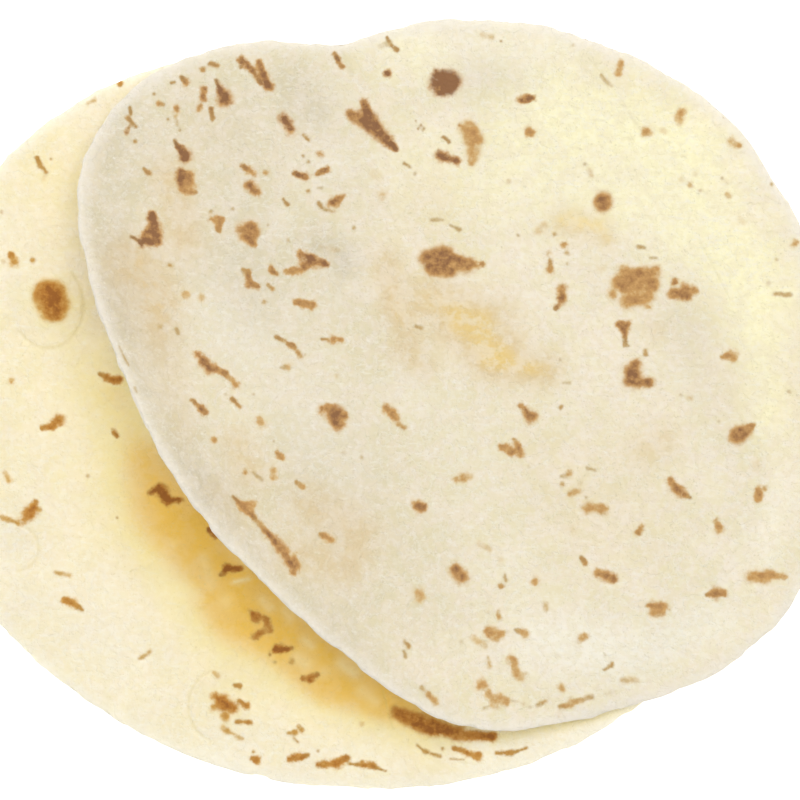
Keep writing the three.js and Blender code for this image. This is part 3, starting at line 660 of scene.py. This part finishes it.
# Splits the long edges of the upper face, most of all round the toasted spots.
def refine(piece, toast, folds):
    edit = bmesh.new()
    edit.from_mesh(piece.data)
    bmesh.ops.triangulate(edit, faces=edit.faces)
    places = np.array([vertex.co for vertex in edit.verts])
    upward = np.array([vertex.normal.z for vertex in edit.verts]) > 0
    faces = np.array([[vertex.index for vertex in face.verts] for face in edit.faces])
    edit.free()
    for number in range(meshing["passes"]):
        ends = np.roll(faces, -1, axis=1)
        keys = np.minimum(faces, ends) * len(places) + np.maximum(faces, ends)
        keys, which = np.unique(keys, return_inverse=True)
        edges = np.column_stack((keys // len(places), keys % len(places)))
        middles = (places[edges[:, 0]] + places[edges[:, 1]]) / 2
        lengths = np.linalg.norm(places[edges[:, 0]] - places[edges[:, 1]], axis=1) / mm
        seen = seenAt(middles)
        away = np.abs(nearestToast(seen, toast)[0]) * stepSize
        away = np.where(np.abs(foldHeight(seen, folds)) > meshing["fold"], 0, away)
        longest = meshing["fine"] + meshing["growth"] * np.maximum(away - meshing["border"], 0)
        split = lengths > np.minimum(longest, meshing["open"])
        split &= upward[edges[:, 0]] | upward[edges[:, 1]]
        added = np.where(split, len(places) + np.cumsum(split) - 1, -1)
        places = np.vstack((places, middles[split]))
        upward = np.append(upward, np.ones(split.sum(), bool))
        new = added[which.reshape(-1, 3)]
        cuts = (new >= 0).sum(axis=1)
        # one cut side comes first, and where two are cut, the whole one comes last
        turn = np.where(cuts == 1, np.argmax(new >= 0, axis=1), 0)
        turn = np.where(cuts == 2, (np.argmax(new < 0, axis=1) + 1) % 3, turn)
        order = (np.arange(3) + turn[:, None]) % 3
        rows = np.hstack((np.take_along_axis(faces, order, 1), np.take_along_axis(new, order, 1)))
        faces = np.vstack([cutTriangles(rows[cuts == sides], sides) for sides in range(4)])
    mesh = bpy.data.meshes.new(piece.name)
    mesh.from_pydata(places.tolist(), [], faces.tolist())
    piece.data = mesh


def addAttribute(mesh, name, values):
    attribute = mesh.attributes.new(name, "FLOAT", "POINT")
    attribute.data.foreach_set("value", np.asarray(values, np.float32))


marking = {
    "nearest": -4,  # the range kept of the distance to a toasted spot, in mm
    "farthest": 8,
    "underside": {"toast": 8, "browning": 0.55, "toastWidth": 1.5},  # for the spots made there
    "rimTilt": 0.3,  # faces steeper than this, by their normal's upward share, are the rim
    "foldTilt": 0.4,  # over this much of tilt folds run out before the rim turns down
}


# Writes on each point how far it is from a toasted spot and from the rim, in mm, the tones of the dough
# and the painted light and shade there, and whether the point is on the upper face (1) or the underside
# (0).
def markDough(piece, tortilla):
    mesh = piece.data
    places = np.empty(len(mesh.vertices) * 3)
    normals = np.empty(len(mesh.vertices) * 3)
    mesh.vertices.foreach_get("co", places)
    mesh.vertices.foreach_get("normal", normals)
    places = places.reshape(-1, 3)
    facing = normals.reshape(-1, 3)[:, 2]
    onTop = facing > 0
    seen = seenAt(places)
    away, browning, width = nearestToast(seen, tortilla["toast"])
    away = np.clip(away * stepSize, marking["nearest"], marking["farthest"])
    above = {"toast": away, "browning": browning, "toastWidth": width * stepSize}
    for name, below in marking["underside"].items():
        addAttribute(mesh, name, np.where(onTop, above[name], below))
    addAttribute(mesh, "upper", np.clip(facing * 2 + 0.5, 0, 1))
    level = np.clip((facing - marking["rimTilt"]) / marking["foldTilt"], 0, 1)
    addAttribute(mesh, "fold", foldHeight(seen, tortilla["folds"]) * level)
    for tone in ("goldAndPaintedGlow", "grey", "bright", "pale"):
        addAttribute(mesh, tone, patchStrength(seen, tortilla[tone]) * onTop)
    rim = places[np.abs(facing) < marking["rimTilt"]]
    tree = KDTree(len(rim))
    for number, (x, y, z) in enumerate(rim):
        tree.insert((x, y, 0), number)
    tree.balance()
    addAttribute(mesh, "toRim", [tree.find((x, y, 0))[2] / mm for x, y, z in places])


# How toasted dough looks, from hardly at all to dark: on the upper tortilla, and on the lower one, whose
# spots are more golden and saturated: partly their own colour, partly painted glow of light shining
# through the dough.
toasting = [
    (0.1, linear(230, 210, 160)),
    (0.34, linear(219, 188, 132)),
    (0.58, linear(203, 158, 99)),
    (0.80, linear(178, 132, 82)),
    (1.0, linear(146, 104, 70)),
]
glowingToast = [
    (0.1, linear(236, 208, 140)),
    (0.34, linear(220, 180, 104)),
    (0.58, linear(202, 150, 76)),
    (0.80, linear(184, 124, 54)),
    (1.0, linear(158, 100, 44)),
]

# The gold colours are the dough's golden tone and, on the lower tortilla, painted glow and shade under
# the upper tortilla's edge; the bright colour is painted light; the grey colour is painted shade on the
# upper tortilla; the olive colour tints flecks and paints shade in fold grooves; the rim colour is partly
# painted light.
lowerTortilla["look"] = {
    "cream": linear(248, 238, 208),
    "tint": linear(245, 232, 190),
    "blush": linear(250, 238, 218),
    "faintGold": linear(250, 232, 148),
    "gold": linear(243, 200, 94),
    "mottling": 0.12,
    "grey": linear(242, 233, 210),
    "bright": linear(253, 243, 200),
    "pale": linear(252, 245, 226),
    "flour": linear(254, 250, 236),
    "olive": linear(222, 206, 148),
    "smallToast": linear(176, 144, 84),
    "translucency": 0.42,
    "rim": linear(251, 246, 230),
    "toasting": glowingToast,
}

upperTortilla["look"] = {
    "cream": linear(245, 234, 206),
    "tint": linear(234, 223, 184),
    "blush": linear(244, 230, 212),
    "faintGold": linear(222, 194, 144),
    "gold": linear(240, 210, 132),
    "mottling": 0.8,
    "grey": linear(192, 181, 162),
    "bright": linear(255, 248, 206),
    "pale": linear(250, 244, 226),
    "flour": linear(248, 244, 232),
    "olive": linear(196, 186, 142),
    "smallToast": linear(166, 142, 92),
    "translucency": 0.26,
    "rim": linear(243, 237, 227),
    "toasting": toasting,
}


# The dough's patterns: sizes and heights in mm, and how strongly each one shows, from 0 to 1.
grain = {
    "broadSize": 14,
    "patchSize": 5,
    "mealSize": 1.7,
    "fleckSize": 0.6,
    "creaseSize": 3.6,
    "fibreSize": 1.1,
    "fibreTurn": 0.6,  # in radians
    "fibreLength": 0.3,  # the less, the longer
    "bumpSize": 1.2,
    "bumpHeight": 0.25,
    "tint": 0.7,
    "blush": 0.5,
    "mealyTint": 0.2,
    "flour": 0.2,
    "fibreFlour": 0.36,
    "fibreTint": 0.3,
    "flecks": 0.25,
    "grooveShadeStrength": 0.4,
    "rim": 0.62,
    "rimWidth": 5.0,
    "roughness": 0.85,
    "shine": 0.25,
    "scattering": 2.5,
    "scatteredColour": (1.0, 0.95, 0.65),
}

# How the toasted spots are roughened, and those of the underside, in mm.
toastGrain = {
    "spacing": 13,
    "smallest": -1.5,
    "largest": 3.2,
    "raggedness": 7,
    "broadWarpSize": 2.4,
    "broadWarp": 1.9,
    "fineWarp": 0.6,
    "mealyBlotches": 1.4,
    "patchyBlotches": 0.8,
    "fineBlotches": 0.3,
    "brownness": 1.26,
    "clearOfUnderside": 20,  # keeps the underside's spots off the upper face
}


def makeDough(name, look):
    material = bpy.data.materials.new(name)
    material.use_nodes = True
    tree = material.node_tree
    tree.nodes.clear()
    nodes = Nodes(tree)
    where = nodes.add("ShaderNodeTexCoord", {}, {}, "Object")
    broad = nodes.noise(where, grain["broadSize"] * mm, 1.0)
    patchy = nodes.noise(where, grain["patchSize"] * mm, 3.0, 0.62)
    mealy = nodes.noise(where, grain["mealSize"] * mm, 2.0, 0.6)
    fine = nodes.noise(where, grain["fleckSize"] * mm, 0.0)
    bends = nodes.noise(where, grain["creaseSize"] * mm, 3.0, 0.55) - 0.5
    creases = nodes.rise(bends * bends, 0.0, 0.0016, 1.0, 0.0)
    turned = {
        "Vector": where,
        "Rotation": (0.0, 0.0, grain["fibreTurn"]),
        "Scale": (grain["fibreLength"], 1.0, 1.0),
    }
    alongFibres = nodes.add("ShaderNodeMapping", {}, turned)
    fibres = nodes.noise(alongFibres, grain["fibreSize"] * mm, 2.0, 0.6)

    # the dough: pale, with greyer and yellower clouds and golden patches; the golden patches are partly
    # painted glow and shade, the greyer patches on the upper tortilla are painted shade, and the bright
    # patches are painted light
    clouds = nodes.rise(patchy, 0.4, 0.6)
    cloudy = clouds * 0.3 + 0.75
    gilding = clouds * look["mottling"] + (1 - look["mottling"] / 2)
    goldAndPaintedGlow = nodes.attribute("goldAndPaintedGlow")
    plain = 1 - goldAndPaintedGlow
    gold = nodes.mix(nodes.rise(goldAndPaintedGlow, 0.45, 0.9), look["faintGold"], look["gold"])
    tinted = nodes.rise(broad, 0.35, 0.65) * grain["tint"]
    colour = nodes.mix(tinted, look["cream"], look["tint"])
    colour = nodes.mix(nodes.rise(patchy, 0.56, 0.44) * grain["blush"], colour, look["blush"])
    colour = nodes.mix(nodes.attribute("grey") * cloudy, colour, look["grey"])
    colour = nodes.mix(nodes.attribute("pale") * cloudy, colour, look["pale"])
    colour = nodes.mix(goldAndPaintedGlow * gilding, colour, gold)
    colour = nodes.mix(nodes.attribute("bright") * cloudy, colour, look["bright"])

    # over it meal, floury creases, fibres, flecks, painted shade in the folds' grooves, and the rim,
    # paler and partly painted light
    mealTint = nodes.rise(mealy, 0.44, 0.6) * plain * grain["mealyTint"]
    colour = nodes.mix(mealTint, colour, look["tint"])
    inCreases = creases * nodes.rise(broad, 0.4, 0.6)
    floury = nodes.rise(mealy, 0.52, 0.4) * grain["flour"] + inCreases * grain["flour"]
    colour = nodes.mix(floury * plain, colour, look["flour"])
    fibreFlour = nodes.rise(fibres, 0.56, 0.74) * plain * grain["fibreFlour"]
    colour = nodes.mix(fibreFlour, colour, look["flour"])
    fibreTint = nodes.rise(fibres, 0.42, 0.30) * plain * grain["fibreTint"]
    colour = nodes.mix(fibreTint, colour, look["tint"])
    colour = nodes.mix(nodes.rise(fine, 0.74, 0.80) * grain["flecks"], colour, look["olive"])
    # painted shade in the grooves of the folds
    paintedGrooveShade = nodes.rise(nodes.attribute("fold"), -0.03, -0.22) * grain["grooveShadeStrength"]
    colour = nodes.mix(paintedGrooveShade, colour, look["olive"])
    # the rim paler: partly the dough's own paler edge, partly painted light, where light shines through
    # the lower tortilla's thin edge and where the upper tortilla's flank lies in shade
    paleAndLitRim = nodes.rise(nodes.attribute("toRim"), 0.4, grain["rimWidth"], grain["rim"], 0.0)
    colour = nodes.mix(paleAndLitRim, colour, look["rim"])

    # the toasted spots, and cells of them on the underside, which the strokes don't reach
    cells = {"Vector": where, "Scale": 1 / (toastGrain["spacing"] * mm), "Randomness": 1.0}
    fromSpot = nodes.add("ShaderNodeTexVoronoi", {"voronoi_dimensions": "2D"}, cells)
    chance = nodes.other(fromSpot, "Color")
    size = nodes.rise(chance, 0.25, 0.95, toastGrain["smallest"], toastGrain["largest"])
    below = fromSpot * toastGrain["spacing"] - size + (patchy - 0.5) * toastGrain["raggedness"]
    below = below + nodes.attribute("upper") * toastGrain["clearOfUnderside"]
    warping = nodes.noise(where, toastGrain["broadWarpSize"] * mm, 1.0)
    warp = (warping - 0.5) * toastGrain["broadWarp"] + (fine - 0.5) * toastGrain["fineWarp"]
    width = nodes.attribute("toastWidth")
    smallLess = nodes.rise(width, 0.2, 1.2, 0.3, 1.0)
    largeLess = nodes.rise(width, 1.5, 2.4, 1.0, 0.6)
    away = nodes.attribute("toast").lesser(below) + warp * (smallLess * largeLess)
    inside = away / nodes.rise(width, 0.3, 2.0, 0.34, 0.95)
    edge = nodes.rise(inside, -1.0, 1.1, 1.0, 0.0)
    deep = nodes.rise(inside, -1.9, 0.7, 1.1, 0.4)
    blotches = (mealy - 0.5) * toastGrain["mealyBlotches"]
    blotches = blotches + (patchy - 0.5) * toastGrain["patchyBlotches"]
    blotches = blotches + (fine - 0.5) * toastGrain["fineBlotches"]
    browned = nodes.attribute("browning") * deep * (blotches + toastGrain["brownness"])
    toasted = nodes.add("ShaderNodeValToRGB", {"stops": look["toasting"]}, {"Fac": browned})
    toasted = nodes.mix(nodes.rise(width, 0.4, 1.1, 0.5, 0.0), toasted, look["smallToast"])
    colour = nodes.mix(edge * nodes.rise(browned, -0.1, 0.55), colour, toasted)

    height = nodes.noise(where, grain["bumpSize"] * mm, 1.0) - creases * 0.3
    bumpy = {"Strength": 1.0, "Distance": grain["bumpHeight"] * mm, "Height": height}
    sockets = {
        "Base Color": colour,
        "Roughness": grain["roughness"],
        "Subsurface Weight": look["translucency"],
        "Subsurface Radius": grain["scatteredColour"],
        "Subsurface Scale": grain["scattering"] * mm,
        "Specular IOR Level": grain["shine"],
        "Normal": nodes.add("ShaderNodeBump", {}, bumpy),
    }
    shader = nodes.add("ShaderNodeBsdfPrincipled", {"subsurface_method": "BURLEY"}, sockets)
    surface = tree.nodes.new("ShaderNodeOutputMaterial")
    tree.links.new(shader.socket, surface.inputs["Surface"])
    return material


def makeTortilla(tortilla, reliefTree):
    piece = copyDough(tortilla)
    refine(piece, tortilla["toast"], tortilla["folds"])
    markDough(piece, tortilla)
    dough = makeDough(tortilla["slot"], tortilla["look"])
    modifier = piece.modifiers.new("relief", "NODES")
    modifier.node_group = reliefTree
    values = {**relief, "Seed": tortilla["seed"], "Dough": dough}
    for item in reliefTree.interface.items_tree:
        if item.in_out == "INPUT" and item.name in values:
            modifier[item.identifier] = values[item.name]
    bake(piece)
    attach(piece, "root")
    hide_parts(tortilla["node"])
    print(tortilla["piece"], len(piece.data.polygons), "triangles")


studio = {
    "tableWidth": 4.0,
    "tableShade": 0.25,
    "tableGlow": 1.0,
    "roomGlow": 0.62,
    "lampPlace": (0.06, 0.34, 1.0),
    "lampWidth": 1.0,
    "lampPower": 5.4,
}


def makeStudio():
    white = (1, 1, 1, 1)
    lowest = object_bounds()[0].z
    half = studio["tableWidth"] / 2
    corners = [(x * half, y * half, lowest) for x, y in ((-1, -1), (1, -1), (1, 1), (-1, 1))]
    mesh = bpy.data.meshes.new("table")
    mesh.from_pydata(corners, [], [(0, 1, 2, 3)])
    table = bpy.data.objects.new("table", mesh)
    scene.collection.objects.link(table)
    material = bpy.data.materials.new("table")
    material.use_nodes = True
    shader = material.node_tree.nodes["Principled BSDF"]
    shader.inputs["Base Color"].default_value = (*[studio["tableShade"]] * 3, 1)
    shader.inputs["Emission Color"].default_value = white
    shader.inputs["Emission Strength"].default_value = studio["tableGlow"]
    mesh.materials.append(material)

    room = bpy.data.worlds.new("room")
    room.use_nodes = True
    background = room.node_tree.nodes["Background"]
    background.inputs["Color"].default_value = white
    background.inputs["Strength"].default_value = studio["roomGlow"]
    scene.world = room

    lamp = bpy.data.lights.new("lamp", "AREA")
    lamp.shape = "DISK"
    lamp.size = studio["lampWidth"]
    lamp.energy = studio["lampPower"]
    holder = bpy.data.objects.new("lamp", lamp)
    holder.location = studio["lampPlace"]
    holder.rotation_euler = (-holder.location).to_track_quat("-Z", "Y").to_euler()
    scene.collection.objects.link(holder)
    scene.view_settings.view_transform = "Standard"


makeCamera()
print("camera in place")
reliefTree = makeReliefTree()
print("relief tree built")
makeTortilla(lowerTortilla, reliefTree)
makeTortilla(upperTortilla, reliefTree)
makeStudio()
print("table and light in place")
